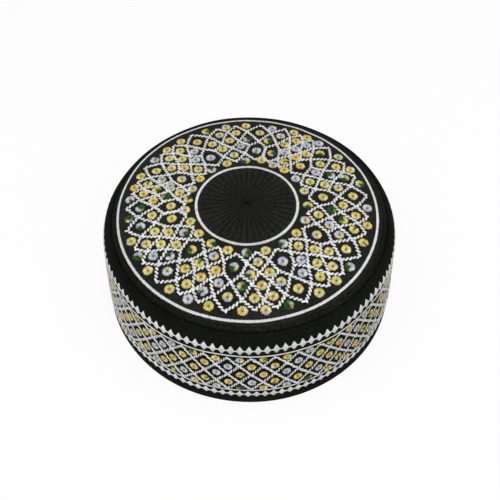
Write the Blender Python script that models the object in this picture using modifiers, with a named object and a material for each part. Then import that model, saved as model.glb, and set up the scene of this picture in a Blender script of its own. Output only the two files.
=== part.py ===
"""Embroidered prayer cap: a round cap of padded black cotton with a nearly flat top.

The cap is sewn from two panels and finished with a hem. A round crown panel closes the top. A side band
runs all the way round it, puffs out over a soft shoulder just below the seam, and widens a little towards
the bottom. A hem band turns the lower edge and is what the cap stands on.

Metres, +Z up. The origin is the middle of the flat ring on which the cap stands.
"""

import math

import bpy

# Overall sizes
HEM_RADIUS = 0.0930
RING_HEIGHT = 0.0671
RING_RADIUS = 0.0763
CROWN_RISE = 0.0052
WALL_FLARE = 0.1
CLOTH = 0.0025

# Seam between the crown panel and the side band
SEAM_RADIUS = 0.0813
EDGE_FALL = 0.0020
SEAM_GAP = 0.0003
LIP_RADIUS = 0.0006

# Shoulder of the side band: a quarter of a slightly squared ellipse
SHOULDER_START_RADIUS = 0.07935
SHOULDER_TOP = 0.0648
SHOULDER_FOOT = 0.0512
SHOULDER_POWER = 2.19

# Hem
HEM_HEIGHT = 0.0062
HEM_CLOTH = 0.0030
HEM_ROUNDING = 0.0007

# Fineness
STEPS_AROUND = 72
CROWN_POINTS = 9
MARGIN_POINTS = 3
SHOULDER_POINTS = 8
WALL_POINTS = 4

MERGE = 0.00001
BLACK_COTTON = (0.0125, 0.0128, 0.0115, 1.0)
BLACK_HEM = (0.0110, 0.0112, 0.0102, 1.0)


def clear_scene():
    """Remove whatever objects the file starts with."""
    for obj in list(bpy.data.objects):
        bpy.data.objects.remove(obj)


def cloth_material(name, colour, roughness):
    """A plain matt cloth."""
    material = bpy.data.materials.new(name)
    material.use_nodes = True
    shader = material.node_tree.nodes["Principled BSDF"]
    shader.inputs["Base Color"].default_value = colour
    shader.inputs["Roughness"].default_value = roughness
    shader.inputs["Metallic"].default_value = 0.0
    return material


def spaced(first, last, count):
    """Evenly spaced numbers from first to last, both included."""
    return [first + (last - first) * i / (count - 1) for i in range(count)]


def wall_radius(height):
    """Outer radius of the straight wall: it widens by WALL_FLARE for each unit of height on the way down."""
    return HEM_RADIUS - WALL_FLARE * height


def crown_height(radius):
    """Top of the crown panel: a shallow paraboloid, and past the ring its edge turns down to the seam."""
    dome = RING_HEIGHT + CROWN_RISE * (1.0 - (radius / RING_RADIUS) ** 2)
    past_ring = max(0.0, radius - RING_RADIUS) / (SEAM_RADIUS - RING_RADIUS)
    return dome - EDGE_FALL * past_ring ** 2


def shoulder_point(turn):
    """Point of the shoulder for a turn from 0 (top) to 1 (where it runs into the straight wall)."""
    angle = turn * math.pi / 2
    power = 2.0 / SHOULDER_POWER
    foot_radius = wall_radius(SHOULDER_FOOT)
    radius = SHOULDER_START_RADIUS + (foot_radius - SHOULDER_START_RADIUS) * math.sin(angle) ** power
    height = SHOULDER_FOOT + (SHOULDER_TOP - SHOULDER_FOOT) * max(0.0, math.cos(angle)) ** power
    return radius, height


def shoulder_turn_at(radius):
    """The turn at which the shoulder reaches a radius, the inverse of shoulder_point."""
    share = (radius - SHOULDER_START_RADIUS) / (wall_radius(SHOULDER_FOOT) - SHOULDER_START_RADIUS)
    return math.asin(share ** (SHOULDER_POWER / 2.0)) * 2.0 / math.pi


def crown_profile():
    """From the middle of the crown out to the seam."""
    flat_radii = spaced(0.0, RING_RADIUS, CROWN_POINTS)
    edge_radii = spaced(RING_RADIUS, SEAM_RADIUS - SEAM_GAP / 2, MARGIN_POINTS)[1:]
    return [(radius, crown_height(radius)) for radius in flat_radii + edge_radii]


def band_profile():
    """From the seam over the shoulder and straight down to the hem."""
    first_turn = shoulder_turn_at(SEAM_RADIUS + SEAM_GAP / 2)
    shoulder = [shoulder_point(turn) for turn in spaced(first_turn, 1.0, SHOULDER_POINTS)]
    heights = spaced(SHOULDER_FOOT, HEM_HEIGHT + SEAM_GAP, WALL_POINTS)[1:]
    return shoulder + [(wall_radius(height), height) for height in heights]


def hem_profile():
    """Closed section of the hem: down its outer side, flat across the bottom and up its inner side."""
    slant = WALL_FLARE * HEM_CLOTH
    return [
        (wall_radius(HEM_HEIGHT), HEM_HEIGHT),
        (wall_radius(0.0), 0.0),
        (wall_radius(0.0) - HEM_CLOTH, 0.0),
        (wall_radius(HEM_HEIGHT) - HEM_CLOTH, HEM_HEIGHT - slant),
    ]


def turned(name, profile, closed, collection):
    """Turn a profile of (radius, height) points once round +Z with a Screw modifier."""
    points = [(radius, 0.0, height) for radius, height in profile]
    edges = [(i, i + 1) for i in range(len(points) - 1)]
    if closed:
        edges.append((len(points) - 1, 0))
    mesh = bpy.data.meshes.new(name)
    mesh.from_pydata(points, edges, [])
    obj = bpy.data.objects.new(name, mesh)
    collection.objects.link(obj)
    screw = obj.modifiers.new("Turn", "SCREW")
    screw.axis = "Z"
    screw.angle = math.tau
    screw.steps = STEPS_AROUND
    screw.render_steps = STEPS_AROUND
    screw.use_merge_vertices = True
    screw.merge_threshold = MERGE
    screw.use_smooth_shade = True
    return obj


def thicken(obj, thickness):
    """Give a turned surface its thickness on the inner side."""
    solidify = obj.modifiers.new("Cloth", "SOLIDIFY")
    solidify.thickness = thickness
    solidify.offset = -1.0
    solidify.use_even_offset = True


def soften_edges(obj, width):
    """Round the sharp rims, as folded cloth is."""
    bevel = obj.modifiers.new("Soft edge", "BEVEL")
    bevel.limit_method = "ANGLE"
    bevel.angle_limit = math.radians(50)
    bevel.width = width
    bevel.segments = 2


def crown_panel(collection):
    """The round top of the cap."""
    obj = turned("crown_panel", crown_profile(), False, collection)
    thicken(obj, CLOTH)
    soften_edges(obj, LIP_RADIUS)
    obj.data.materials.append(cloth_material("Crown cotton", BLACK_COTTON, 0.85))


def side_band(collection):
    """The wall of the cap, with the soft shoulder at its top."""
    obj = turned("side_band", band_profile(), False, collection)
    thicken(obj, CLOTH)
    soften_edges(obj, LIP_RADIUS)
    obj.data.materials.append(cloth_material("Band cotton", BLACK_COTTON, 0.82))


def hem_band(collection):
    """The turned lower edge, flat below, on which the cap stands."""
    obj = turned("hem_band", hem_profile(), True, collection)
    soften_edges(obj, HEM_ROUNDING)
    obj.data.materials.append(cloth_material("Hem cotton", BLACK_HEM, 0.88))


def main():
    clear_scene()
    collection = bpy.data.collections.new("prayer_cap")
    bpy.context.scene.collection.children.link(collection)
    crown_panel(collection)
    side_band(collection)
    hem_band(collection)


main()
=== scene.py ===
# %% [markdown]
# # An embroidered prayer cap
# The cap is a low, round cap of padded black cotton: a nearly flat crown, a side band that puffs out over a
# soft shoulder just below the seam, and a turned hem. White rope stitch draws a lattice over crown and band,
# and each cell holds an eyelet in thread dyed yellow, silver and green. The plain solids come in as a fixed
# frame, and everything seen is made here as stitched surfaces around them.

# %% Load the frame
import math

import bpy
import numpy as np
from mathutils import Matrix, Vector


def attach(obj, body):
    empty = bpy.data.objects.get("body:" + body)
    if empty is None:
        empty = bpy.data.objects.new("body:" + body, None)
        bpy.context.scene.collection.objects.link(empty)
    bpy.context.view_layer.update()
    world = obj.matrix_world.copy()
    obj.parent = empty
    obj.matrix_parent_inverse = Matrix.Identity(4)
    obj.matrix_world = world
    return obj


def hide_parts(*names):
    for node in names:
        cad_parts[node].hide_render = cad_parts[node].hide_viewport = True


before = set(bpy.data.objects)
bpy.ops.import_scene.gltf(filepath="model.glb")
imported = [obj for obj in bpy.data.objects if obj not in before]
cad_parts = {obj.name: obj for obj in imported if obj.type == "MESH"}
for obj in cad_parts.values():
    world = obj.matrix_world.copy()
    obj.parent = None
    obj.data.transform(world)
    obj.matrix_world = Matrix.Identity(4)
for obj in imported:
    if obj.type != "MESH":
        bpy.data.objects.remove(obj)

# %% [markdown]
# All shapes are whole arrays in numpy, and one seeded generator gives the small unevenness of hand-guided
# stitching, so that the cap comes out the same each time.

chance = np.random.default_rng(11)
MM = 0.001
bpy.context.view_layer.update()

# %% [markdown]
# ## The cap's sizes
# The crown is a shallow dome of cloth whose edge turns down to the seam. The side band starts there, rolls
# over a quarter of a slightly squared ellipse and widens a little all the way down. These are the driving
# sizes of the solids, and every stitch is placed on the surfaces that they give. The needlework was sewn a
# touch off the middle, so its own middles are values too.

# %% Sizes
RING_RADIUS = 76.3 * MM
RING_HEIGHT = 67.1 * MM
CROWN_RISE = 5.2 * MM
SEAM_RADIUS = 81.3 * MM
EDGE_FALL = 2.0 * MM
SHOULDER_START = 79.35 * MM
SHOULDER_TOP = 64.8 * MM
SHOULDER_FOOT = 51.2 * MM
SHOULDER_POWER = 2.19
HEM_RADIUS = 93.0 * MM
HEM_HEIGHT = 6.2 * MM
HEM_CLOTH = 3.0 * MM
WALL_FLARE = 0.1
CLOTH = 2.5 * MM
RING_MIDDLE = -1.0 * MM
DISC_MIDDLE = -1.44 * MM
DISC_RADIUS = 0.390 * RING_RADIUS
FOOT_RADIUS = HEM_RADIUS - WALL_FLARE * SHOULDER_FOOT
SHOULDER_HEIGHT = SHOULDER_TOP - SHOULDER_FOOT
print("crown ring", 2 * RING_RADIUS, "m across, hem", 2 * HEM_RADIUS, "m across")

# %% [markdown]
# ## The camera
# The picture looks down on the cap from the front at about fifty degrees. The lens and three small turns
# were found by fitting the cap's round lines to it, so an edge in the render falls on the same edge there.
# The camera stands on a line from the middle of the white ring.

# %% Camera
CAMERA_DISTANCE = 361.9 * MM
CAMERA_ELEVATION = math.radians(49.835)
CAMERA_TURN = math.radians(-0.1875)
CAMERA_DIP = math.radians(3.884)
CAMERA_ROLL = math.radians(-0.376)
CAMERA_LENS = 43.93


def new_object(name, data):
    """An object of a camera, a mesh or a light, put into the scene."""
    thing = bpy.data.objects.new(name, data)
    bpy.context.scene.collection.objects.link(thing)
    return thing


def place_camera():
    """Turn a camera that looks straight down up to its elevation, then by the three small turns."""
    target = Vector((RING_MIDDLE, 0.0, RING_HEIGHT))
    away = Vector((0.0, -math.cos(CAMERA_ELEVATION), math.sin(CAMERA_ELEVATION)))
    aim = Matrix.Rotation(math.pi / 2 - CAMERA_ELEVATION, 4, "X")
    aim = aim @ Matrix.Rotation(CAMERA_TURN, 4, "Y") @ Matrix.Rotation(-CAMERA_DIP, 4, "X")
    aim = aim @ Matrix.Rotation(CAMERA_ROLL, 4, "Z")
    data = bpy.data.cameras.new("Camera")
    data.lens = CAMERA_LENS
    data.clip_start = 0.01
    camera = new_object("Camera", data)
    camera.matrix_world = Matrix.Translation(target + away * CAMERA_DISTANCE) @ aim
    bpy.context.scene.camera = camera
    print("camera at", tuple(round(v, 4) for v in camera.matrix_world.translation))


place_camera()

# %% [markdown]
# ## Putting a surface into a mesh
# A mesh in Blender is a list of points and a list of faces. One helper makes an object of both. A second one
# makes a piece of the cap: it adds a UV map, which the weave and the threads follow, and any numbers that
# the materials read, such as a stitch's shade.

# %% Mesh helpers


def smooth_object(name, points, faces, material):
    """A smooth object from an array of points and a list of faces, each a list of point numbers."""
    mesh = bpy.data.meshes.new(name)
    mesh.from_pydata(points.tolist(), [], faces)
    mesh.shade_smooth()
    mesh.materials.append(material)
    return new_object(name, mesh)


def new_piece(name, points, faces, material, uv, numbers):
    """A piece of the cap: uv has a row for each face corner, each of the numbers a value for each point."""
    piece = smooth_object(name, points, faces, material)
    mesh = piece.data
    mesh.uv_layers.new(name="UVMap").uv.foreach_set("vector", uv.astype(np.float32).ravel())
    for key, values in numbers.items():
        attribute = mesh.attributes.new(key, "FLOAT", "POINT")
        attribute.data.foreach_set("value", values.astype(np.float32))
    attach(piece, "root")
    print(name, "has", len(mesh.loops) - 2 * len(mesh.polygons), "triangles")
    return piece


# %% [markdown]
# ## Finishes
# A finish is a small tree of nodes. One helper sets or links a node's sockets, and another adds a node and
# gives one of its outputs. The rest are nodes that several finishes need, so the recipes below stay short.

# %% Node helpers


def fill_sockets(node, sockets):
    """Set each named socket, or link it where the value is another node's output."""
    for key, value in sockets.items():
        if isinstance(value, bpy.types.NodeSocket):
            node.id_data.links.new(value, node.inputs[key])
        else:
            node.inputs[key].default_value = value


def add_node(tree, kind, output, sockets, **settings):
    """Add a node, make its own settings, fill its sockets and give one of its outputs."""
    node = tree.nodes.new(kind)
    for key, value in settings.items():
        setattr(node, key, value)
    fill_sockets(node, sockets)
    return node.outputs[output]


def new_material(name, roughness, specular):
    """A Principled material and its shader, with the numbers that are the same all over set."""
    material = bpy.data.materials.new(name)
    material.use_nodes = True
    shader = material.node_tree.nodes["Principled BSDF"]
    fill_sockets(shader, {"Roughness": roughness, "Specular IOR Level": specular})
    return material, shader


def add_ramp(tree, source, stops):
    """A colour ramp through (place, colour) stops, read at a number from 0 to 1."""
    output = add_node(tree, "ShaderNodeValToRGB", "Color", {"Fac": source})
    elements = output.node.color_ramp.elements
    for element, (place, colour) in zip(elements, (stops[0], stops[-1])):
        element.position = place
        element.color = (*colour, 1.0)
    for place, colour in stops[1:-1]:
        elements.new(place).color = (*colour, 1.0)
    return output


def times_plus(tree, value, factor, more):
    """The value times the factor, plus more."""
    return add_node(tree, "ShaderNodeMath", 0, {0: value, 1: factor, 2: more}, operation="MULTIPLY_ADD")


def own_uv(tree):
    """The place on the piece's own UV map, in metres along the cloth or the thread."""
    return add_node(tree, "ShaderNodeUVMap", "UV", {}, uv_map="UVMap")


def own_number(tree, name):
    """A number that the piece carries point by point."""
    return add_node(tree, "ShaderNodeAttribute", "Fac", {}, attribute_name=name)


def bump(tree, height, strength, distance, **under):
    """The shading normal of a relief; Normal=... lays it over another one."""
    sockets = {"Height": height, "Strength": strength, "Distance": distance, **under}
    return add_node(tree, "ShaderNodeBump", "Normal", sockets)


def stripes(tree, place, pitch, direction, distortion):
    """Sine stripes that repeat every pitch metres; a wave texture of scale 1 repeats every 2 pi / 20."""
    sockets = {"Vector": place, "Scale": math.tau / 20 / pitch, "Distortion": distortion, "Detail": 1.0}
    return add_node(tree, "ShaderNodeTexWave", "Fac", sockets, wave_type="BANDS", bands_direction=direction)


# %% [markdown]
# ### Black cotton
# The cloth is a matt black twill over thin wadding. A twill shows fine slanting ribs with the yarns crossing
# them, and its black is never flat: a little grey where the nap is rubbed. Painted shade darkens it over the
# crown's margin and along the seam. Turned stripes give the ribs, finer ones the yarns, fine noise drawn out
# along the ribs the nap, and broad noise the wear. The ribs and yarns also darken the colour in their
# valleys, partly as the twill's own pattern and partly as painted shade. The weave reads the UV map, which
# lies along the cloth.

# %% Black cotton
TWILL_PITCH = 0.80 * MM
YARN_PITCH = 0.42 * MM
TWILL_SLANT = math.radians(58)
WEAVE_SHADE_SHARE = 0.35
WEAVE_DEPTH = 0.14 * MM
NAP_SHARE = 2.4
NAP_SCALE = 1200.0
NAP_DRAWN_OUT = 0.4
WEAR_SCALE = 42.0
PUFF_DEPTH = 0.26 * MM
PAINTED_SHADE_SHARE = 0.36
DARKEST_SUM = 1.5
GREYEST_SUM = 2.6


def noise(tree, place, scale):
    """Soft noise of three octaves, from 0 to 1."""
    return add_node(tree, "ShaderNodeTexNoise", "Fac", {"Vector": place, "Scale": scale, "Detail": 3.0})


def black_cotton(name, dark, worn):
    """From dark to worn by the sum nap + wear + weave - painted shade; the weave and the nap are the relief.
    """
    material, shader = new_material(name, 0.80, 0.05)
    tree = material.node_tree
    place = own_uv(tree)
    turn_to_rib = {"Vector": place, "Rotation": (0.0, 0.0, TWILL_SLANT)}
    turned = add_node(tree, "ShaderNodeMapping", "Vector", turn_to_rib)
    draw_out = {"Vector": turned, "Scale": (1.0, NAP_DRAWN_OUT, 1.0)}
    brushed = add_node(tree, "ShaderNodeMapping", "Vector", draw_out)
    ribs = stripes(tree, turned, TWILL_PITCH, "X", 0.7)
    weave = times_plus(tree, ribs, 1.0, stripes(tree, place, YARN_PITCH, "Y", 0.5))
    wear = noise(tree, add_node(tree, "ShaderNodeTexCoord", "Object", {}), WEAR_SCALE)
    rubbed = times_plus(tree, noise(tree, brushed, NAP_SCALE), NAP_SHARE, wear)
    # The weave darkens the colour in its valleys: the twill's own pattern, and painted shade between the
    # ribs.
    woven = times_plus(tree, weave, WEAVE_SHADE_SHARE, rubbed)
    # Painted shade: the number read here darkens the crown's margin and the cloth by the seam.
    total = times_plus(tree, own_number(tree, "painted_shade"), -PAINTED_SHADE_SHARE, woven)
    limits = {"Value": total, "From Min": DARKEST_SUM, "From Max": GREYEST_SUM}
    share = add_node(tree, "ShaderNodeMapRange", "Result", limits)
    puffs = bump(tree, rubbed, 0.5, PUFF_DEPTH)
    fill_sockets(shader, {
        "Base Color": add_ramp(tree, share, [(0.0, dark), (1.0, worn)]),
        "Normal": bump(tree, weave, 0.8, WEAVE_DEPTH, Normal=puffs),
        "Sheen Weight": 0.02,
        "Sheen Roughness": 0.35,
        "Sheen Tint": (0.5, 0.5, 0.46, 1.0),
    })
    return material


crown_cotton = black_cotton("Crown cotton", (0.0054, 0.0060, 0.0050), (0.0305, 0.0325, 0.0280))
# The band and the hem are the same black twill as the crown; their darker colours are painted shade, so the
# sides come out darker than the top.
shaded_band_cotton = black_cotton("Band cotton", (0.0018, 0.0023, 0.0017), (0.0118, 0.0133, 0.0112))
shaded_hem_cotton = black_cotton("Hem cotton", (0.0020, 0.0022, 0.0019), (0.0110, 0.0114, 0.0102))
print("cloth finishes:", crown_cotton.name, shaded_band_cotton.name, shaded_hem_cotton.name)

# %% [markdown]
# ### White and black thread
# Embroidery thread is a loose twist of smooth fibres, so it shines along its length and shows fine lines.
# The UV map runs along and across each stitch, so the lines follow it, and each stitch has a shade number of
# its own. A stitch's darker foot is left to real shadow, except in the eyelets, whose hole and rim foot are
# painted darker as painted shade.

# %% White and black thread
FIBRE_PITCH = 0.26 * MM
FIBRE_DEPTH = 0.06 * MM


def by_shade(tree, dull, bright):
    """A colour between dull and bright by the stitch's shade."""
    return add_ramp(tree, own_number(tree, "shade"), [(0.0, dull), (1.0, bright)])


def thread(name, roughness, specular, colour, *values):
    """Fibre lines across the UV map's second axis are the relief; the function colour builds the colour."""
    material, shader = new_material(name, roughness, specular)
    tree = material.node_tree
    fibres = stripes(tree, own_uv(tree), FIBRE_PITCH, "Y", 0.4)
    normal = bump(tree, fibres, 0.45, FIBRE_DEPTH)
    fill_sockets(shader, {"Normal": normal, "Base Color": colour(tree, *values)})
    return material


white_thread = thread("White thread", 0.5, 0.35, by_shade, (0.50, 0.50, 0.50), (0.94, 0.945, 0.945))
black_thread = thread("Black thread", 0.7, 0.06, by_shade, (0.0020, 0.0020, 0.0016), (0.0040, 0.0040, 0.0034))
print("threads:", white_thread.name, black_thread.name)

# %% [markdown]
# ### Variegated thread
# The eyelets are sewn with one thread dyed in lengths: a long stretch of yellow, then silver, then a short
# one of green. That is why an eyelet can change colour half way round. The number "run" says how far along
# its dye a stitch lies, from 0 to 1, and a ramp turns it into the colour, with short blends between.

# %% Variegated thread
GOLD = (0.98, 0.74, 0.19)
YELLOW = (0.99, 0.87, 0.30)
PALE_YELLOW = (0.99, 0.96, 0.60)
LEMON = (0.90, 0.90, 0.36)
SILVER = (0.65, 0.74, 0.96)
PALE_SILVER = (0.88, 0.91, 0.98)
GREEN = (0.022, 0.115, 0.022)
LEAF = (0.34, 0.44, 0.08)
PEACH = (0.88, 0.66, 0.34)
DEEP_SHADE = (0.36, 0.28, 0.12)
DYE_STOPS = [
    (0.00, GOLD), (0.05, YELLOW), (0.11, LEMON), (0.16, YELLOW), (0.22, PALE_YELLOW), (0.28, YELLOW),
    (0.34, GOLD), (0.40, PALE_YELLOW), (0.45, LEMON), (0.50, YELLOW), (0.55, PALE_YELLOW), (0.58, YELLOW),
    (0.60, PEACH), (0.62, SILVER), (0.73, PALE_SILVER), (0.84, SILVER),
    (0.855, LEAF), (0.87, GREEN), (0.94, GREEN), (0.955, LEAF), (0.98, LEMON), (1.00, GOLD),
]


def dyed(tree):
    """The dye by the number run, times a depth that goes from brown to white by the stitch's shade."""
    dye = add_ramp(tree, own_number(tree, "run"), DYE_STOPS)
    # In a Mix node set to colours, socket 0 is the factor, 6 and 7 are the colours, and output 2 the mix.
    sockets = {0: 1.0, 6: dye, 7: by_shade(tree, DEEP_SHADE, (1.0, 1.0, 1.0))}
    return add_node(tree, "ShaderNodeMix", 2, sockets, data_type="RGBA", blend_type="MULTIPLY")


variegated_thread = thread("Variegated thread", 0.45, 0.3, dyed)
print("dye stops:", len(DYE_STOPS))

# %% [markdown]
# ## The surfaces that everything lies on
# Two functions give the cap's outer surface: the crown's height by the distance from the middle, and the
# band's radius by the height. Both wave a little, because padded cloth is never true. Two more put a flat
# place on the cap: they give the point there, moved by a lift along the surface's own normal. All needlework
# is laid out flat and then goes through one of these.

# %% Places round the cap
SLOPE_STEP = 0.1 * MM
WALL_REFERENCE = 90.0 * MM


def around(radius, angle, height):
    """Points turned counter-clockwise from the front: (radius x sine, -radius x cosine, height)."""
    return np.stack(np.broadcast_arrays(radius * np.sin(angle), -radius * np.cos(angle), height), -1)


def plan(radius, angle, middle=0.0):
    """Plan places round a middle: (middle + radius x sine, -radius x cosine)."""
    return around(radius, angle, 0.0)[..., :2] + (middle, 0.0)


def even_turns(radius, pitch):
    """Angles at equal steps round a circle, as near to the pitch as a whole number of steps allows."""
    count = int(round(math.tau * radius / pitch))
    return np.arange(count) * math.tau / count


def moved(point, normal, lift):
    """Points moved by a lift along a normal, which is first made one unit long."""
    return point + lift[..., None] * normal / np.linalg.norm(normal, axis=-1, keepdims=True)


# %% Surface of the crown
CROWN_WAVE = 0.14 * MM


def crown_height(x, y):
    """A shallow paraboloid that falls away past the ring, with low waves a few centimetres long on it."""
    radius = np.hypot(x, y)
    dome = RING_HEIGHT + CROWN_RISE * (1.0 - (radius / RING_RADIUS) ** 2)
    past_ring = np.maximum(radius - RING_RADIUS, 0.0) / (SEAM_RADIUS - RING_RADIUS)
    waves = np.sin(165 * x + 1.0) * np.sin(140 * y + 2.0) + 0.6 * np.sin(290 * x - 210 * y)
    return dome - EDGE_FALL * past_ring**2 + CROWN_WAVE * waves


def on_crown(x, y, lift):
    """The crown's point over the plan place (x, y), moved by lift along the normal (-dz/dx, -dz/dy, 1)."""
    x, y, lift = np.broadcast_arrays(x, y, lift)
    step = SLOPE_STEP
    slope_x = (crown_height(x + step, y) - crown_height(x - step, y)) / (2 * step)
    slope_y = (crown_height(x, y + step) - crown_height(x, y - step)) / (2 * step)
    normal = np.stack([-slope_x, -slope_y, np.ones_like(slope_x)], -1)
    return moved(np.stack([x, y, crown_height(x, y)], -1), normal, lift)


print("crown middle height", round(float(crown_height(0.0, 0.0)), 4))

# %% Surface of the side band
BAND_WAVE = 0.13 * MM


def squared_ellipse(share):
    """How far out or up a squared ellipse is where it is a share up or out: (1 - share^power)^(1 / power)."""
    return (1.0 - share**SHOULDER_POWER) ** (1.0 / SHOULDER_POWER)


def band_radius(angle, height):
    """The straight wall, and above its foot the squared ellipse of the shoulder; low waves go round it."""
    wall = HEM_RADIUS - WALL_FLARE * height
    up = np.clip((height - SHOULDER_FOOT) / SHOULDER_HEIGHT, 0.0, 1.0)
    shoulder = SHOULDER_START + (FOOT_RADIUS - SHOULDER_START) * squared_ellipse(up)
    waves = np.sin(5 * angle + 1.0 + 40 * height) + 0.7 * np.sin(11 * angle - 70 * height)
    return np.where(height > SHOULDER_FOOT, shoulder, wall) + BAND_WAVE * waves


def on_band(across, height, lift):
    """The point of the band at a distance across, counter-clockwise from the front, and a height."""
    across, height, lift = np.broadcast_arrays(across, height, lift)
    angle = across / WALL_REFERENCE
    step = SLOPE_STEP
    slope = (band_radius(angle, height + step) - band_radius(angle, height - step)) / (2 * step)
    return moved(around(band_radius(angle, height), angle, height), around(1.0, angle, -slope), lift)


print("band radius at the hem", round(float(band_radius(0.0, HEM_HEIGHT)), 4))

# %% [markdown]
# ## The cloth
# The solids are plain shells. Each is replaced by a finer one of the same form and thickness: a section
# carried round the middle, as a grid of points. The crown's grid closes on a pole above and one below, and
# the sections of the band and the hem close on themselves.

# %% Grids round the cap
AROUND = 480
turn = np.arange(AROUND) * math.tau / AROUND


def ring_quads(rows, steps, closed):
    """Quads between rows of points that close round; closed also joins the last row to the first."""
    row = np.arange(rows if closed else rows - 1)[:, None]
    step = np.arange(steps)
    below, beside = (row + 1) % rows, (step + 1) % steps
    corners = [row * steps + step, below * steps + step, below * steps + beside, row * steps + beside]
    return np.stack(corners, -1).reshape(-1, 4)


def ring_uv(row_run, length_round):
    """Corner UVs in metres for a closed grid's quads: round the cap and along the section, with no jump."""
    row = np.arange(len(row_run))[:, None]
    step = np.arange(AROUND)
    runs = np.append(row_run, row_run[-1] + MM)
    corners = [(step, row), (step, row + 1), (step + 1, row + 1), (step + 1, row)]
    flat = [np.stack(np.broadcast_arrays(s * length_round / AROUND, runs[r]), -1) for s, r in corners]
    return np.stack(flat, -2).reshape(-1, 2)


def path_run(*coordinates):
    """Distance along a path from its first point, given each coordinate as an array."""
    return np.concatenate([[0.0], np.cumsum(np.linalg.norm(np.diff(coordinates), axis=0))])


print("steps round:", AROUND)

# %% [markdown]
# ### The crown cloth
# Two layers with wadding between are quilted: in the plain middle disc, rows of stitches run out like
# spokes, and each pulls a shallow channel into the padding. Along the edge the cloth is turned over and sewn
# down, which leaves a soft welt, a sewn line and faint creases. All are cut into the surface, since they
# show in its shading. The spokes meet at the disc's own middle, so the grid's middle moves there as the
# radius gets small. A number darkens the margin as painted shade, and its lip once more as painted shadow
# in the seam's groove.

# %% Relief of the crown
SPOKES = 40
SPOKE_DEPTH = 0.38 * MM
SPOKE_WIDTH = 0.62 * MM
SPOKE_CROWDING = 0.24
SPOKE_MARGIN = 1.2 * MM
SHALLOW_MIDDLE = 9.0 * MM
WELT_WIDTH = 2.1 * MM
WELT_RISE = 0.35 * MM
SEWN_LINE_DEPTH = 0.30 * MM
SEWN_LINE_WIDTH = 0.32 * MM
CREASE_PITCH = 1.05 * MM
CREASE_RISE = 0.05 * MM


def welt(distance):
    """Height of the rolled edge by the distance from its fold: a half sine with the sewn line at its foot."""
    roll = WELT_RISE * np.sin(np.pi * np.clip(distance / WELT_WIDTH, 0.0, 1.0))
    return roll - SEWN_LINE_DEPTH * np.exp(-(((distance - WELT_WIDTH) / SEWN_LINE_WIDTH) ** 2))


def creases(radius):
    """Faint ridges along the edge, from a millimetre past the ring: sine waves of the radius that wander."""
    wander = 1.2 * np.sin(5 * turn) + 0.8 * np.sin(13 * turn + 1.0)
    strength = CREASE_RISE * (0.6 + 0.4 * np.sin(3 * turn + 2.0))
    start = np.clip((radius - RING_RADIUS) / MM - 1.0, 0.0, 1.0)
    return start * strength * np.sin(math.tau * radius / CREASE_PITCH + wander)


def spokes(radius, angle):
    """Depth of the quilted channels: a bell curve of the distance to the nearest spoke, narrower inwards."""
    pitch = math.tau / SPOKES
    off = (angle + pitch / 2) % pitch - pitch / 2
    width = np.minimum(SPOKE_WIDTH, SPOKE_CROWDING * pitch * radius)
    channel = np.exp(-((radius * off / width) ** 2))
    inside = np.clip((DISC_RADIUS - SPOKE_MARGIN - radius) / MM, 0.0, 1.0)
    return -SPOKE_DEPTH * channel * inside * np.clip(radius / SHALLOW_MIDDLE, 0.3, 1.0)


print("quilted spokes:", SPOKES)

# %% Crown cloth
LIP = 0.8 * MM
LIP_ROLL = np.radians(np.linspace(18, 90, 5))[:, None]
SEAM_HALF_GAP = 0.12 * MM
SEAM_DEPTH = 2.6 * MM
POLE_RADIUS = 0.7 * MM
TOP_ROWS = (0, 26, 59, 85)
INNER_ROWS = 9
MARGIN_PAINTED_SHADE = 4.0 * MM
LIP_PAINTED_SHADE = 1.4 * MM


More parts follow.
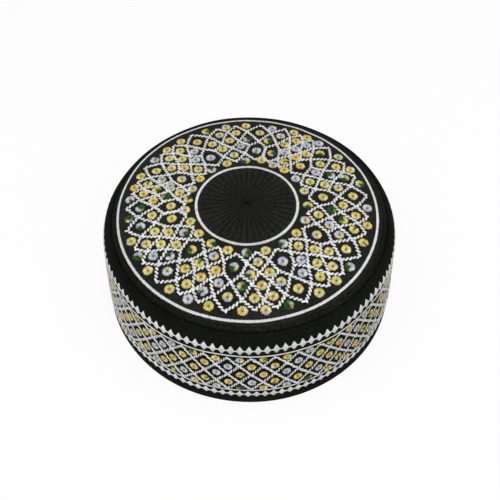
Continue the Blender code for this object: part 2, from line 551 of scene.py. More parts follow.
def crown_cloth():
    """Rows from the pole over disc, lattice and margin, round the lip, into the seam and back below."""
    edge = SEAM_RADIUS - SEAM_HALF_GAP
    starts = (POLE_RADIUS, DISC_RADIUS, RING_RADIUS, edge - LIP)
    radius = np.interp(np.arange(TOP_ROWS[-1] + 1), TOP_ROWS, starts)[:, None]
    middle = DISC_MIDDLE * np.clip((RING_RADIUS - radius) / (RING_RADIUS - DISC_RADIUS), 0.0, 1.0)
    margin = np.where(radius > RING_RADIUS, welt(edge - radius) + creases(radius), 0.0)
    relief = spokes(radius, turn) + margin
    top = on_crown(radius * np.sin(turn) + middle, -radius * np.cos(turn), relief)
    lip = around(edge - LIP + LIP * np.sin(LIP_ROLL), turn, top[-1, :, 2] - LIP + LIP * np.cos(LIP_ROLL))
    under = np.linspace(edge - 1.5 * MM, 1.0 * MM, INNER_ROWS)
    under = np.concatenate([[edge, edge - 0.5 * MM], under])[:, None]
    depth = np.concatenate([[SEAM_DEPTH - 0.4 * MM, SEAM_DEPTH], np.full(INNER_ROWS, CLOTH)])[:, None]
    inner = around(under, turn, 0.0)
    inner[..., 2] = crown_height(inner[..., 0], inner[..., 1]) - depth
    grid = np.concatenate([top, lip, inner])
    top_pole = on_crown(np.full(1, DISC_MIDDLE), np.zeros(1), -0.3 * SPOKE_DEPTH)
    low_pole = [[0.0, 0.0, RING_HEIGHT + CROWN_RISE - CLOTH]]
    points = np.concatenate([grid.reshape(-1, 3), top_pole, low_pole])
    step = np.arange(AROUND)
    beside = (step + 1) % AROUND
    last = (len(grid) - 1) * AROUND
    top_fan = np.stack([np.full(AROUND, len(points) - 2), step, beside], -1)
    low_fan = np.stack([np.full(AROUND, len(points) - 1), last + beside, last + step], -1)
    reach = np.hypot(points[:, 0], points[:, 1])
    # Painted shade: darker over the margin past the ring, and darker again at the lip, as the seam's shadow.
    painted_shade = np.clip((reach - RING_RADIUS) / MARGIN_PAINTED_SHADE, 0.0, 1.0)
    painted_shade += 0.4 * np.clip((reach - SEAM_RADIUS) / LIP_PAINTED_SHADE + 1.0, 0.0, 1.0)
    parts = (ring_quads(len(grid), AROUND, False), top_fan, low_fan)
    faces = sum((part.tolist() for part in parts), [])
    uv = points[np.concatenate([part.ravel() for part in parts]), :2]
    return new_piece("crown_cloth", points, faces, crown_cotton, uv, {"painted_shade": painted_shade})


crown = crown_cloth()
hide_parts("crown_panel")

# %% [markdown]
# ### The side band's cloth
# The band has the same welt and sewn line at the seam, then the shoulder, then the wall. Its section starts
# with a fold tucked under the crown's edge, so that the seam is closed and dark. Inside, it is repeated one
# cloth's thickness further in, so that the hollow of the cap is finished too.

# %% Side band cloth
SHOULDER_ROWS = 30
WALL_ROWS = 42
INNER_STEP = 7
HEM_OVERLAP = 0.5 * MM
TUCK = 0.25 * MM
FOLD_PAINTED_SHADE = 2.4 * MM


def side_heights():
    """Heights down the outside: by equal turns of the ellipse from the seam, then evenly down the wall."""
    share = (SEAM_RADIUS + LIP - SHOULDER_START) / (FOOT_RADIUS - SHOULDER_START)
    first = math.acos(squared_ellipse(share) ** (SHOULDER_POWER / 2))
    turns = np.linspace(first, math.pi / 2, SHOULDER_ROWS)
    shoulder = SHOULDER_FOOT + SHOULDER_HEIGHT * np.cos(turns) ** (2 / SHOULDER_POWER)
    return np.concatenate([shoulder[:-1], np.linspace(SHOULDER_FOOT, HEM_HEIGHT + HEM_OVERLAP, WALL_ROWS)])


def side_cloth():
    """Rows from a fold tucked under the crown's edge over the shoulder, down the wall and up the inside."""
    heights = side_heights()[:, None]
    run = path_run(band_radius(0.0, heights[:, 0]), heights[:, 0])[:, None]
    across = turn * WALL_REFERENCE
    relief = np.where(run < 2 * WELT_WIDTH, welt(run + 0.4 * LIP), 0.0)
    outer = on_band(across, heights, relief)
    inset = on_band(across, heights[-1:] - 0.3 * MM, -TUCK)
    inner = on_band(across, heights[::-INNER_STEP], -CLOTH)
    fold = outer[0, :, 2] - LIP
    roll = -LIP_ROLL[::-1]
    rim = around(SEAM_RADIUS + SEAM_HALF_GAP + LIP + LIP * np.sin(roll), turn, fold + LIP * np.cos(roll))
    tuck = around(SEAM_RADIUS - 0.35 * MM, turn, fold - TUCK)[None]
    grid = np.concatenate([tuck, rim, outer, inset, inner])
    reach = np.hypot(grid[..., 0], grid[..., 1])
    # Painted shade of the seam's groove on the band, fading over its first few millimetres.
    painted_shade = 0.5 * np.clip(1.0 - (reach.ravel() - SEAM_RADIUS) / FOLD_PAINTED_SHADE, 0.0, 1.0)
    uv = ring_uv(path_run(reach[:, 0], grid[:, 0, 2]), math.tau * WALL_REFERENCE)
    points, faces = grid.reshape(-1, 3), ring_quads(len(grid), AROUND, True).tolist()
    return new_piece("side_cloth", points, faces, shaded_band_cotton, uv, {"painted_shade": painted_shade})


side = side_cloth()
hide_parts("side_band")

# %% [markdown]
# ### The hem
# The lower edge is a strip of the same twill folded over the raw edges. It stands on the table, so its lower
# fold is nearly flat with rounded corners: a rounded rectangle, carried round and leaning with the wall.

# %% Hem cloth
HEM_CORNER = 1.0 * MM
HEM_TOP_CORNER = 0.35 * MM
HEM_GAP = 0.12 * MM
HEM_WAVE = 0.05 * MM


def hem_cloth():
    """A rounded rectangle of the strip's thickness and height, which leans as much as the wall flares."""
    half_width, half_height = HEM_CLOTH / 2, (HEM_HEIGHT - HEM_GAP) / 2
    across, up = [], []
    for quarter, (side_sign, up_sign) in enumerate(((1, 1), (1, -1), (-1, -1), (-1, 1))):
        corner = HEM_CORNER if up_sign < 0 else HEM_TOP_CORNER
        arc = np.radians(90 - 90 * quarter - np.linspace(0, 90, 6))
        across.append(side_sign * (half_width - corner) + corner * np.cos(arc))
        up.append(up_sign * (half_height - corner) + corner * np.sin(arc))
    across, up = np.concatenate(across), np.concatenate(up)
    height = up + half_height
    radius = (HEM_RADIUS - half_width - WALL_FLARE * height + across)[:, None]
    radius = radius + HEM_WAVE * np.sin(9 * turn)
    points = around(radius, turn, height[:, None]).reshape(-1, 3)
    faces = ring_quads(len(height), AROUND, True).tolist()
    uv = ring_uv(path_run(across, up), math.tau * HEM_RADIUS)
    return new_piece("hem_cloth", points, faces, shaded_hem_cotton, uv, {})


hem = hem_cloth()
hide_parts("hem_band")

# %% [markdown]
# ## One stitch, many times
# A satin stitch is a short raised bar of thread whose ends dive into the cloth. Everything white or coloured
# on the cap is made of such bars, so one function makes any number at once. A bar has four stations along it
# and four points across it: foot, crest, crest, foot. That is fourteen faces, as much as a shape repeated
# thousands of times can afford, and smooth shading rounds it off. Each has a light, a share of the thread's
# full brightness: partly a random tone of its own, and in places painted light and shade.

# %% Stitches
ALONG_SHARE = np.array([-1.0, -0.62, 0.62, 1.0])
ALONG_RISE = np.array([0.10, 0.92, 0.92, 0.10])
ACROSS_SHARE = np.array([-1.0, -0.58, 0.58, 1.0])
ACROSS_RISE = np.array([0.0, 1.0, 1.0, 0.0])
FOOT_SINK = 0.06 * MM
SHADE_SPREAD = 0.32
BAR_POINTS = 16
UV_SPREAD = 10 * MM


def uneven(size, spread, shape):
    """The size times 1 plus a random share with that spread, one for each place of the shape."""
    return size * (1.0 + spread * chance.standard_normal(shape))


def bars(middle, heading, length, width, rise, base=0.0, ends=0.72, light=1.0):
    """Stitches at plan middles (n, 2); ends is the tips' width, as a share, and light the brightness."""
    count = len(middle)
    sizes = (heading, length, width, rise, base)
    heading, length, width, rise, base = (np.broadcast_to(size, count) for size in sizes)
    return {
        "middle": middle,
        "heading": heading,
        "along": length[:, None] / 2 * ALONG_SHARE,
        "half": width[:, None] / 2 * np.array([ends, 1.0, 1.0, ends]),
        "rise": rise[:, None] * ALONG_RISE,
        "run": np.zeros(count),
        "base": base,
        "light": np.broadcast_to(np.reshape(light, (-1, 1)), (count, 4)),
    }


def joined(batches):
    """Several batches as one."""
    return {key: np.concatenate([batch[key] for batch in batches]) for key in batches[0]}


def lit(batch, share):
    """The same stitches, with the light of each times its share."""
    return {**batch, "light": batch["light"] * share[:, None]}


def bar_quads(count):
    """Twelve faces round a bar and one over each end, repeated for every bar."""
    index = np.arange(BAR_POINTS).reshape(4, 4)
    near, far = index[:-1], index[1:]
    round_it = np.stack([near, far, np.roll(far, -1, 1), np.roll(near, -1, 1)], -1).reshape(-1, 4)
    pattern = np.concatenate([round_it, index[:1], index[-1:, ::-1]])
    return (np.arange(count)[:, None, None] * BAR_POINTS + pattern).reshape(-1, 4)


def sew(name, surface, batch, material):
    """Lay a batch flat, station by station and point by point, then put it on the surface as one piece."""
    count = len(batch["middle"])
    heading = batch["heading"][:, None, None]
    along = batch["along"][:, :, None]
    across = batch["half"][:, :, None] * ACROSS_SHARE
    x = batch["middle"][:, 0][:, None, None] + along * np.cos(heading) - across * np.sin(heading)
    y = batch["middle"][:, 1][:, None, None] + along * np.sin(heading) + across * np.cos(heading)
    lift = batch["rise"][:, :, None] * ACROSS_RISE + batch["base"][:, None, None]
    lift = lift - FOOT_SINK * (ACROSS_RISE < 0.5)
    points = surface(x, y, lift).reshape(-1, 3)
    offset = chance.random((count, 1, 1)) * UV_SPREAD
    uv = np.stack(np.broadcast_arrays(along + offset, across + offset), -1).reshape(-1, 2)
    shade = (1.0 - SHADE_SPREAD * chance.random((count, 1))) * batch["light"]
    numbers = {"shade": np.repeat(shade.ravel(), 4), "run": np.repeat(batch["run"] % 1.0, BAR_POINTS)}
    quads = bar_quads(count)
    return new_piece(name, points, quads.tolist(), material, uv[quads.ravel()], numbers)


print("faces in one stitch:", len(bar_quads(1)))

# %% [markdown]
# ## Rings and lines
# Two white rings frame the crown's lattice and two thin white lines the band's. They are satin bands:
# stitches side by side across the line, so close that only fine ribs show, with the slight lean of machine
# work. The outer ring isn't quite round and gets thinner towards the back, and its thread is painted
# brightest in front and darkest at the left, as painted light and shade.

# %% Rings of the crown
RIB_PITCH = 0.70 * MM
RIB_WIDTH = 0.66 * MM
RIB_LEAN = math.radians(8)
RING_LIGHT = 0.95
RING_SWAYS = ((-130.0, 0.95 * MM), (137.0, -0.35 * MM))
OUTER_WIDTH, OUTER_RISE = 1.62 * MM, 0.34 * MM
INNER_WIDTH, INNER_RISE = 1.70 * MM, 0.38 * MM
FRONT_PAINTED_LIGHT = 0.4
LEFT_PAINTED_SHADE = 0.38
PAINTED_SHADE_PLACE = -80.0
BACK_THINNING = 0.25


def bell(angle, place):
    """A smooth hump round a circle: 1 at a place in degrees and nearly 0 a quarter turn away."""
    return np.exp(3.5 * (np.cos(angle - math.radians(place)) - 1.0))


def crown_ring(angle, radius, middle, width, rise, light):
    """Stitches at those angles that head out from a middle with a lean; radius, width and light may vary."""
    lengths = uneven(width, 0.07, len(angle))
    heading = angle - math.pi / 2 + RIB_LEAN
    return bars(plan(radius, angle, middle), heading, lengths, RIB_WIDTH, rise, light=RING_LIGHT * light)


def outer_ring():
    """The circle plus its sways, with the thinning at the back, painted light in front and painted shade at
    the left.
    """
    angle = even_turns(RING_RADIUS, RIB_PITCH)
    radius = RING_RADIUS + sum(out * bell(angle, place) ** 2 for place, out in RING_SWAYS)
    width = OUTER_WIDTH * (1.0 - BACK_THINNING * (0.5 - 0.5 * np.cos(angle)) ** 2)
    # Painted light in front and painted shade at the left, where the stitches run across the light.
    light = 1.0 + FRONT_PAINTED_LIGHT * bell(angle, 0.0) - LEFT_PAINTED_SHADE * bell(angle, PAINTED_SHADE_PLACE)
    return crown_ring(angle, radius, RING_MIDDLE, width, OUTER_RISE, light)


turns = even_turns(DISC_RADIUS, RIB_PITCH)
rings = [outer_ring(), crown_ring(turns, DISC_RADIUS, DISC_MIDDLE, INNER_WIDTH, INNER_RISE, 1.0)]
sew("crown_rings", on_crown, joined(rings), white_thread)

# %% [markdown]
# The lines of the band climb over a small hump at the right of the front, and the upper one over another
# just left of it, as on the real cap. The band's thread gets painted light and shade, a sum of two bells
# round the cap: brighter in front and at the back, darker at the sides.

# %% Lines of the band
UPPER_LINE = RING_HEIGHT - 0.2282 * RING_RADIUS
LOWER_LINE = RING_HEIGHT - 0.683 * RING_RADIUS
BAND_HUMPS = ((52.0, 13.0, 1.5 * MM),)
UPPER_LINE_HUMPS = BAND_HUMPS + ((-9.0, 8.5, 1.1 * MM),)
LINE_LIGHT = 1.2


def band_places(across, height, humps=BAND_HUMPS):
    """Places lifted by humps, which are bell curves of (place, width, rise), the first two in degrees."""
    angle = (np.degrees(across / WALL_REFERENCE) + 180) % 360 - 180
    lift = sum(rise * np.exp(-(((angle - place) / width) ** 2)) for place, width, rise in humps)
    return np.stack([across, height + lift], -1)


def painted_band_light(across):
    """Painted light and shade on the band's thread: 1.2 a little left of the front, 1 at the back, darker at
    the sides.
    """
    angle = across / WALL_REFERENCE
    return 0.62 + 0.56 * bell(angle, -14.0) + 0.40 * bell(angle, 166.0)


def band_line(height, width, rise, lift, humps):
    """Upright stitches with a lean at equal steps round the band."""
    across = even_turns(WALL_REFERENCE, RIB_PITCH) * WALL_REFERENCE
    lengths = uneven(width, 0.06, len(across))
    places = band_places(across, height, humps)
    # Painted light and shade by the place round the band.
    light = LINE_LIGHT * painted_band_light(across)
    return bars(places, math.pi / 2 + RIB_LEAN, lengths, RIB_WIDTH, rise, base=lift, light=light)


lines = joined([
    band_line(UPPER_LINE, 0.88 * MM, 0.30 * MM, 0.09 * MM, UPPER_LINE_HUMPS),
    band_line(LOWER_LINE, 0.80 * MM, 0.34 * MM, 0.12 * MM, BAND_HUMPS),
])
sew("band_lines", on_band, lines, white_thread)

# %% [markdown]
# ## The lattice of the crown
# The strands swing in arcs between posts, about every thirty-five degrees. Between two posts each strand is
# one of three: one from a post at the outer edge to the next post at the inner edge, a short one in the
# middle, and a long one that carries on past the next post. They are mirrored the other way, and where they
# cross they make small cells, with a large one at each post. The real posts aren't evenly spaced, and two
# gaps are so wide that a narrow extra unit fills them. So the posts are a short list and the strands are
# shares of a gap.

# %% Posts and units of the crown lattice
POSTS = (-149.5, -117.5, -77.0, -44.0, -10.0, 25.0, 60.0, 97.0, 133.5, 172.5)
WIDE_GAP = 38.0
EXTRA_UNIT = 12.5

# Each unit is its start and end, in degrees from the front, and whether it is a narrow one.
units = []
for start, end in zip(POSTS, POSTS[1:] + (POSTS[0] + 360.0,)):
    middle = end - EXTRA_UNIT if end - start > WIDE_GAP else end
    units.append((start, middle, False))
    if middle < end:
        units.append((middle, end, True))
print("units of the crown lattice:", len(units))

# %% [markdown]
# A strand is given by a few nodes: how far across the gap, and how far from the middle as a share of the
# ring's radius. A smooth curve joins them, and the stitches stand at even steps along it.

# %% Strands of the crown lattice
LONG_ARM = ((0.0, 0.945), (0.20, 0.84), (0.343, 0.715), (0.5, 0.635), (0.74, 0.55), (1.0, 0.475))
SHORT_ARM = ((0.37, 0.92), (0.5, 0.85), (0.657, 0.715), (0.85, 0.65))
CROSSING_ARM = ((0.63, 0.925), (0.80, 0.84), (1.0, 0.713))
PAST_POST = ((0.15, 0.65), (0.26, 0.55), (0.5, 0.46))
PAST_POST_NARROW = ((0.0, 0.713), (0.5, 0.64), (0.5, 0.54), (1.0, 0.475))
NARROW_ARM = ((0.0, 0.93), (0.5, 0.84), (1.0, 0.713))


def placed(nodes, start, width):
    """Nodes at shares of a gap that starts at an angle; a negative width runs the other way round."""
    return [(start + share * width, radius) for share, radius in nodes]


def crown_strands(way):
    """All strands that run one way round: way is 1 for counter-clockwise and -1 for its mirror image."""
    strands = []
    for index, (start, end, narrow) in enumerate(units):
        entry, leaving = (start, end) if way > 0 else (end, start)
        width = way * (end - start)
        next_start, next_end, next_narrow = units[(index + way) % len(units)]
        next_width = way * (next_end - next_start)
        if narrow:
            strands.append(placed(NARROW_ARM, entry, width) + placed(PAST_POST, leaving, next_width))
            continue
        strands += [placed(LONG_ARM, entry, width), placed(SHORT_ARM, entry, width)]
        near, far = (CROSSING_ARM[:-1], PAST_POST_NARROW) if next_narrow else (CROSSING_ARM, PAST_POST)
        strands.append(placed(near, entry, width) + placed(far, leaving, next_width))
    return strands


def crown_plan(nodes):
    """Polar nodes (degrees from the front, share of the ring's radius) as plan places."""
    angle, share = np.array(nodes).T
    return plan(RING_RADIUS * share, np.radians(angle), RING_MIDDLE)


def smooth_line(nodes, spacing):
    """Places and headings at even steps on a cubic through the nodes; neighbours give each node's slope."""
    reach = path_run(*nodes.T)
    slopes = np.gradient(nodes, reach, axis=0)
    fine = np.linspace(0.0, reach[-1], 40 * len(nodes))
    piece = np.clip(np.searchsorted(reach, fine, side="right") - 1, 0, len(nodes) - 2)
    span = (reach[piece + 1] - reach[piece])[:, None]
    t = (fine - reach[piece])[:, None] / span
    line = (1 + 2 * t) * (1 - t) ** 2 * nodes[piece] + t**2 * (3 - 2 * t) * nodes[piece + 1]
    line += span * (t * (1 - t) ** 2 * slopes[piece] - t**2 * (1 - t) * slopes[piece + 1])
    run = path_run(*line.T)
    count = max(2, int(round(run[-1] / spacing)))
    even = (np.arange(count) + 0.5) * run[-1] / count
    shifts = np.array([0.0, 0.3, -0.3])[:, None] * MM
    places, ahead, behind = np.stack([np.interp(even + shifts, run, values) for values in line.T], -1)
    step = ahead - behind
    return places, np.arctan2(step[:, 1], step[:, 0])


print("strands each way:", len(crown_strands(1)))

# %% [markdown]
# Each strand is a rope stitch: short slanting satin stitches, one after the other, that look like a twisted
# cord with saw-toothed edges. All slant the same way from their strand, and a few are duller than the rest.
# The strands that run the other way lie on top where two cross. Towards the back of the crown all thread
# is painted a little darker, as painted shade.

# %% Ropes of the crown
# A rope's pitch, its slant in degrees, and its stitches' length, width and rise.
CROWN_ROPE = (2.32 * MM, 35.0, 2.85 * MM, 1.32 * MM, 0.52 * MM)
ROPE_LIGHT = 1.08
ROPE_WANDER = 0.06 * MM
SLANT_SPREAD = 5.0
CROSSING_LIFT = 0.16 * MM
ROPE_BACK_PAINTED_SHADE = 0.28


def toward_back(batch):
    """For each stitch, 0 at the front of the crown, growing to 1 at the back: (0.5 - 0.5 cosine) squared."""
    x, y = batch["middle"].T
    return (0.5 + 0.5 * y / np.hypot(x, y)) ** 2


def rope(nodes, pitch, slant, length, width, rise, lift, light):
    """Slanted stitches at even steps along a smooth line, uneven in length, slant, place and light."""
    places, heading = smooth_line(nodes, pitch)
    count = len(places)
    places = places + ROPE_WANDER * chance.standard_normal((count, 2))
    heading = heading + np.radians(slant + SLANT_SPREAD * chance.standard_normal(count))
    lengths = uneven(length, 0.10, count)
    light = light * (1.0 - 0.5 * chance.random(count) ** 2)
    return bars(places, heading, lengths, width, rise, base=lift, ends=0.5, light=light)


crown_ropes = joined([
    rope(crown_plan(nodes), *CROWN_ROPE, lift, ROPE_LIGHT)
    for way, lift in ((1, 0.0), (-1, CROSSING_LIFT))
    for nodes in crown_strands(way)
])
# Painted shade: the thread gets darker towards the back of the crown.
crown_ropes = lit(crown_ropes, 1.0 - ROPE_BACK_PAINTED_SHADE * toward_back(crown_ropes))
sew("crown_ropes", on_crown, crown_ropes, white_thread)

# %% [markdown]
# ## The eyelets
# An eyelet is a ring of stitches that all run out from one small hole. Each is narrow at the hole and wide
# at the rim, and the ring swells between them like a doughnut. The thread goes on from one eyelet to the
# next, so every stitch is a small step along its dye, and each eyelet starts at its own place.

# %% Eyelet helper
EYELET_STITCHES = 26
EYELET_ALONG = np.array([0.08, 0.42, 0.82, 1.0])
EYELET_RISE = np.array([0.04, 0.84, 1.0, 0.12])
# Painted shade along each stitch: darkest at the hole and dark at the rim's foot, where the stitches dive
# into the cloth.
EYELET_PAINTED_SHADE = np.array([0.0, 0.86, 1.0, 0.20])
EYELET_BRIGHTEST = 1.15
EYELET_HALF_WIDTH = np.array([0.9, 1.0, 0.90, 0.56])
DYE_JUMP = 0.3247


def eyelets(middles, radius, rise, tall, first_run, dye_share, dullest):
    """Rings of stitches, n eyelets by EYELET_STITCHES; tall stretches them upwards, as the band's are."""
    count, total = len(middles), len(middles) * EYELET_STITCHES
    step = np.arange(EYELET_STITCHES)
    start = chance.random((count, 1)) * math.tau
    unevenness = 0.12 * chance.standard_normal((count, EYELET_STITCHES))
    angle = start + (step + unevenness) * math.tau / EYELET_STITCHES
    reach = uneven(radius, 0.045, (count, EYELET_STITCHES))
    reach = (reach * np.hypot(np.cos(angle), tall * np.sin(angle))).reshape(-1, 1)
    share = dye_share * (0.4 + 1.2 * chance.random((count, 1)))
    run = first_run + np.arange(count)[:, None] * DYE_JUMP + step * share / EYELET_STITCHES
    run = run + 0.008 * chance.standard_normal(run.shape)
    rises = uneven(rise, 0.16, (total, 1))
    light = EYELET_BRIGHTEST - dullest * chance.random((total, 1)) ** 2
    return {
        "middle": np.repeat(middles, EYELET_STITCHES, axis=0),
        "heading": np.arctan2(tall * np.sin(angle), np.cos(angle)).ravel(),
        "along": reach * EYELET_ALONG,
        "half": reach * math.pi / EYELET_STITCHES * EYELET_ALONG * EYELET_HALF_WIDTH,
        "rise": rises * EYELET_RISE,
        "run": run.ravel(),
        "base": np.zeros(total),
        "light": light * EYELET_PAINTED_SHADE,
    }


print("stitches in an eyelet:", EYELET_STITCHES)

# %% [markdown]
# On the crown there is an eyelet in each cell, one in every notch along the outer edge and two in each unit
# along the inner ring. They are placed by shares of a unit, as the strands are.

# %% Eyelets of the crown
CELL_EYELETS = (
    (0.214, 0.924), (0.5, 0.924), (0.786, 0.924),
    (0.37, 0.83), (0.63, 0.83),
    (0.19, 0.737), (0.5, 0.737), (0.81, 0.737),
    (0.323, 0.645), (0.677, 0.645),
    (0.5, 0.546),
    (0.25, 0.462), (0.75, 0.462),
)
NARROW_EYELETS = ((0.5, 0.91), (0.5, 0.735), (0.5, 0.48))
POST_EYELETS = ((0.0, 0.83), (0.0, 0.59))
CROWN_EYELET_RADIUS = 2.96 * MM
CROWN_EYELET_RISE = 0.55 * MM
EYELET_BACK_PAINTED_SHADE = 0.22

nodes = []
for start, end, narrow in units:
    nodes += placed(NARROW_EYELETS if narrow else CELL_EYELETS, start, end - start)
    nodes += placed(POST_EYELETS, start, 0.0)
middles = crown_plan(nodes)
crown_eyelets = eyelets(middles, CROWN_EYELET_RADIUS, CROWN_EYELET_RISE, 1.0, 0.09, 0.20, 0.50)
# Painted shade: the eyelets get darker towards the back of the crown.
crown_eyelets = lit(crown_eyelets, 1.0 - EYELET_BACK_PAINTED_SHADE * toward_back(crown_eyelets))
sew("crown_eyelets", on_crown, crown_eyelets, variegated_thread)
print("eyelets on the crown:", len(middles))

# %% [markdown]
# ## The lattice of the band
# Round the band the lattice is regular: forty-three diamonds side by side, two and a half rows high. One
# family of strands is stitched at a small slant and so close that it looks like a smooth cord, the other at
# a wide slant, like a feather. Each strand starts at a tip below the upper line and steps half a diamond
# sideways at each crossing.

# %% Ropes of the band
BAND_CELLS = 43
CELL_WIDTH = math.tau * WALL_REFERENCE / BAND_CELLS
FIRST_TIP = math.radians(0.35) * WALL_REFERENCE
CROSSINGS = RING_HEIGHT - np.array([0.245, 0.350, 0.461, 0.569, 0.671]) * RING_RADIUS
BAND_ROPE_LIGHT = 0.86
CORD = (2.75 * MM, 22.0, 3.6 * MM, 1.12 * MM, 0.46 * MM, CROSSING_LIFT)
FEATHER = (2.1 * MM, 31.0, 3.2 * MM, 0.98 * MM, 0.46 * MM, 0.0)


def band_strand(tip, way):
    """A strand from the tip with that number, half a cell sideways for each crossing on the way down."""
    across = FIRST_TIP + (tip + way * 0.5 * np.arange(len(CROSSINGS))) * CELL_WIDTH
    return band_places(across, CROSSINGS)


def band_ropes(way, kind):
    """All the ropes of one family, with the painted light and shade of their place round the cap."""
    batch = joined([rope(band_strand(tip, way), *kind, BAND_ROPE_LIGHT) for tip in range(BAND_CELLS)])
    return lit(batch, painted_band_light(batch["middle"][:, 0]))


cords, feathers = band_ropes(1, CORD), band_ropes(-1, FEATHER)
sew("band_cords", on_band, cords, white_thread)
sew("band_feathers", on_band, feathers, white_thread)

# %% [markdown]
# The band's eyelets fill its diamonds in three full rows, and the triangles under the upper line and above
# the lower one hold low ones that the lines half cover. The full ones are a little taller than wide.

# %% Eyelets of the band
BAND_EYELET_RADIUS = 2.50 * MM
BAND_EYELET_RISE = 0.48 * MM
FULL_ROWS = ((0.0, 0.360, 1.16), (0.5, 0.465, 1.16), (0.0, 0.572, 1.16))
EDGE_ROWS = ((0.5, 0.273, 1.0), (0.5, 0.651, 0.95))
EYELET_WANDER = 0.15 * MM


def band_eyelet_row(shift, drop, tall, first_run):
    """One eyelet for each cell, shifted by a share of a cell and dropped by a share of the ring's radius."""
    across = FIRST_TIP + (np.arange(BAND_CELLS) + shift) * CELL_WIDTH
    places = band_places(across, RING_HEIGHT - drop * RING_RADIUS)
    places = places + EYELET_WANDER * chance.standard_normal((BAND_CELLS, 2))
    row = eyelets(places, BAND_EYELET_RADIUS, BAND_EYELET_RISE, tall, first_run, 0.11, 0.85)
    # Painted light and shade by the place round the band, as on the band's other thread.
    return lit(row, 0.15 + 0.8 * painted_band_light(row["middle"][:, 0]))


rows = [band_eyelet_row(*row, 0.31 * number) for number, row in enumerate(FULL_ROWS + EDGE_ROWS)]
sew("band_eyelets", on_band, joined(rows), variegated_thread)
print("eyelets on the band:", BAND_CELLS * len(rows))

# %% [markdown]
# ## The chains of diamonds
# Above the upper line and below the lower one runs a chain of small white diamonds. It is one satin band
# whose upright stitches grow and shrink, twelve to a diamond, with a thin neck between two diamonds. By its
# place in the chain, a stitch's top and low end go from the tips to the neck.

# %% Diamonds
DIAMOND_STITCHES = 12
DIAMOND_SHARE = 0.70
DIAMOND_BULGE = 1.25
DIAMOND_RISE = 0.45 * MM
DIAMOND_LIGHT = 1.04
NECK = 0.80 * MM
UPPER_CHAIN = (114, -0.54, 0.107, 0.1535, 0.2010)
LOWER_CHAIN = (117, -0.95, 0.7020, 0.746, 0.7845)


def diamond_chain(diamonds, first, tip, neck, foot):
    """Upright stitches from top to low end; tip, neck and foot are drops, as shares of the ring's radius."""
    place = (np.arange(diamonds * DIAMOND_STITCHES) + 0.5) / DIAMOND_STITCHES
    off = np.abs((place + 0.5) % 1.0 - 0.5) * 2
    share = np.minimum(off / DIAMOND_SHARE, 1.0) ** DIAMOND_BULGE
    top = RING_HEIGHT - RING_RADIUS * (tip + (neck - tip) * share) + NECK / 2 * share
    low = RING_HEIGHT - RING_RADIUS * (foot + (neck - foot) * share) - NECK / 2 * share
    across = (math.radians(first) + place * math.tau / diamonds) * WALL_REFERENCE
    width = 1.02 * math.tau * WALL_REFERENCE / len(place)
    lengths = uneven(top - low, 0.04, len(place))
    rise = DIAMOND_RISE * (1.0 - 0.25 * share)
    # Painted light and shade by the place round the band.
    light = DIAMOND_LIGHT * painted_band_light(across)
    return bars(band_places(across, (top + low) / 2), math.pi / 2, lengths, width, rise, light=light)


chains = joined([diamond_chain(*UPPER_CHAIN), diamond_chain(*LOWER_CHAIN)])
sew("band_diamonds", on_band, chains, white_thread)

# %% [markdown]
# ## Black sewing stitches
# The quilting and the two sewn lines by the seam are stitched in black. They hardly show, but up close a
# channel with no thread in it looks wrong. Each is a row of separate short stitches in its channel.

# %% Quilting and seam stitches
QUILT_STITCH = 2.45 * MM
QUILT_PITCH = 2.5 * MM
QUILT_START = 1.3 * MM
QUILT_THREAD = 0.54 * MM
SEAM_STITCH = 1.8 * MM
SEAM_PITCH = 2.7 * MM
FINE_THREAD = 0.44 * MM
FINE_RISE = 0.2 * MM


def quilting():
    """Short stitches along each spoke, from near the middle out to just inside the ring."""
    pitch = math.tau / SPOKES
    steps = np.arange(QUILT_START, DISC_RADIUS - 2.2 * MM, QUILT_PITCH)
    spoke, radius = (values.ravel() for values in np.meshgrid(np.arange(SPOKES) * pitch, steps))
    width = np.minimum(QUILT_THREAD, 0.5 * pitch * radius)
    places, base = plan(radius, spoke, DISC_MIDDLE), 0.8 * spokes(radius, 0.0)
    return bars(places, spoke - math.pi / 2, QUILT_STITCH, width, FINE_RISE, base=base)


def sewn_line(places, heading):
    """Short stitches that lie deep in the channel at the foot of a welt."""
    return bars(places, heading, SEAM_STITCH, FINE_THREAD, FINE_RISE, base=-0.9 * SEWN_LINE_DEPTH)


radius = SEAM_RADIUS - SEAM_HALF_GAP - WELT_WIDTH
angle = even_turns(radius, SEAM_PITCH)
crown_black = joined([quilting(), sewn_line(plan(radius, angle), angle)])
sew("crown_black_stitches", on_crown, crown_black, black_thread)

# On the band, the foot of the welt is found by following the shoulder for the welt's width.
heights = side_heights()
foot = np.interp(WELT_WIDTH - 0.4 * LIP, path_run(band_radius(0.0, heights), heights), heights)
across = even_turns(SEAM_RADIUS, SEAM_PITCH) * WALL_REFERENCE
band_black = sewn_line(np.stack([across, np.full(len(across), foot)], -1), 0.0)
sew("band_black_stitches", on_band, band_black, black_thread)

# %% [markdown]
# ## The studio
# The cap stands on a white light table, so it throws hardly any shadow. A white paper dome closes the view
# from every side, and only the camera sees either. The sky is brightest above and in front, so the crown is
# lighter than the hem, and one wide soft lamp there gives the threads their shine.

# %% Floor and backdrop
TABLE_HALF = 1.6
TABLE_GREY = 0.12
TABLE_GLOW = 0.872
DOME_RADIUS = 1.55
DOME_GLOW = 0.985
DOME_ROWS = 24
DOME_STEPS = 64


def paper_piece(name, points, faces, grey, glow, unseen_by):
    """Paper that also shines by itself, on the stage and not on the cap, hidden from some kinds of rays."""
    material, shader = new_material(name + " paper", 0.9, 0.1)
    shine = {"Emission Color": (1.0, 1.0, 1.0, 1.0), "Emission Strength": glow}
    fill_sockets(shader, {"Base Color": (grey, grey, grey, 1.0), **shine})
    piece = smooth_object(name, points, faces, material)
    for ray in unseen_by:
        setattr(piece, "visible_" + ray, False)


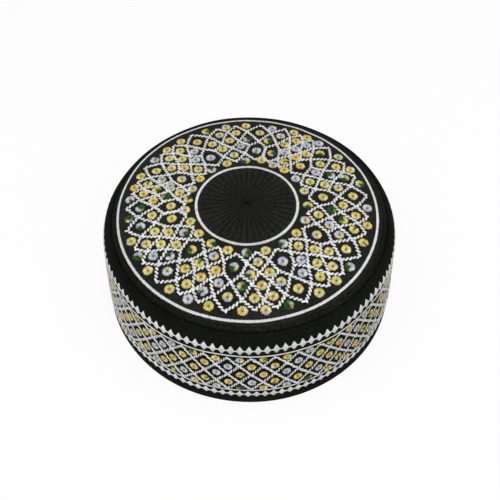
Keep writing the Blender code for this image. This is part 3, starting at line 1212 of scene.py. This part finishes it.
unseen_by = ("diffuse", "glossy", "shadow")
corners = TABLE_HALF * np.array([(-1, -1, 0), (1, -1, 0), (1, 1, 0), (-1, 1, 0)])
paper_piece("light_table", corners, [[0, 1, 2, 3]], TABLE_GREY, TABLE_GLOW, unseen_by)

# The dome is half a sphere, seen from inside, by height angle and turn.
rise = np.radians(np.linspace(0, 89, DOME_ROWS))[:, None]
turns = np.arange(DOME_STEPS) * math.tau / DOME_STEPS
points = DOME_RADIUS * around(np.cos(rise), turns, np.sin(rise)).reshape(-1, 3)
quads = ring_quads(DOME_ROWS, DOME_STEPS, False).tolist()
paper_piece("paper_dome", points, quads, 0.0, DOME_GLOW, unseen_by + ("transmission",))
print("table and dome are in place")

# %% Lights
SKY_STRENGTH = 0.85
SKY_TOP = (-0.02, -0.58, 0.82)
SKY_STOPS = [(0.0, (0.42, 0.42, 0.42)), (0.5, (0.45, 0.45, 0.45)), (1.0, (1.0, 1.0, 1.0))]
LAMP_POWER = 5.8
LAMP_SIZE = 0.8
LAMP_PLACE = Vector((0.05, -0.48, 1.10))


def soft_sky():
    """A sky that is brightest towards SKY_TOP and fades with the angle from it, by the product with it."""
    world = bpy.data.worlds.new("Sky")
    world.use_nodes = True
    tree = world.node_tree
    sockets = {0: add_node(tree, "ShaderNodeTexCoord", "Generated", {}), 1: SKY_TOP}
    toward = add_node(tree, "ShaderNodeVectorMath", "Value", sockets, operation="DOT_PRODUCT")
    share = add_node(tree, "ShaderNodeMapRange", "Result", {"Value": toward, "From Min": -1.0})
    colour = add_ramp(tree, share, SKY_STOPS)
    fill_sockets(tree.nodes["Background"], {"Color": colour, "Strength": SKY_STRENGTH})
    bpy.context.scene.world = world


def soft_lamp():
    """A wide square lamp aimed at the crown."""
    data = bpy.data.lights.new("Soft lamp", "AREA")
    data.energy = LAMP_POWER
    data.size = LAMP_SIZE
    lamp = new_object("Soft lamp", data)
    lamp.location = LAMP_PLACE
    lamp.rotation_euler = (LAMP_PLACE - Vector((0, 0, RING_HEIGHT))).to_track_quat("Z", "Y").to_euler()


soft_sky()
soft_lamp()
bpy.context.scene.view_settings.view_transform = "Standard"
print("sky", SKY_STRENGTH, "lamp", LAMP_POWER, "W")
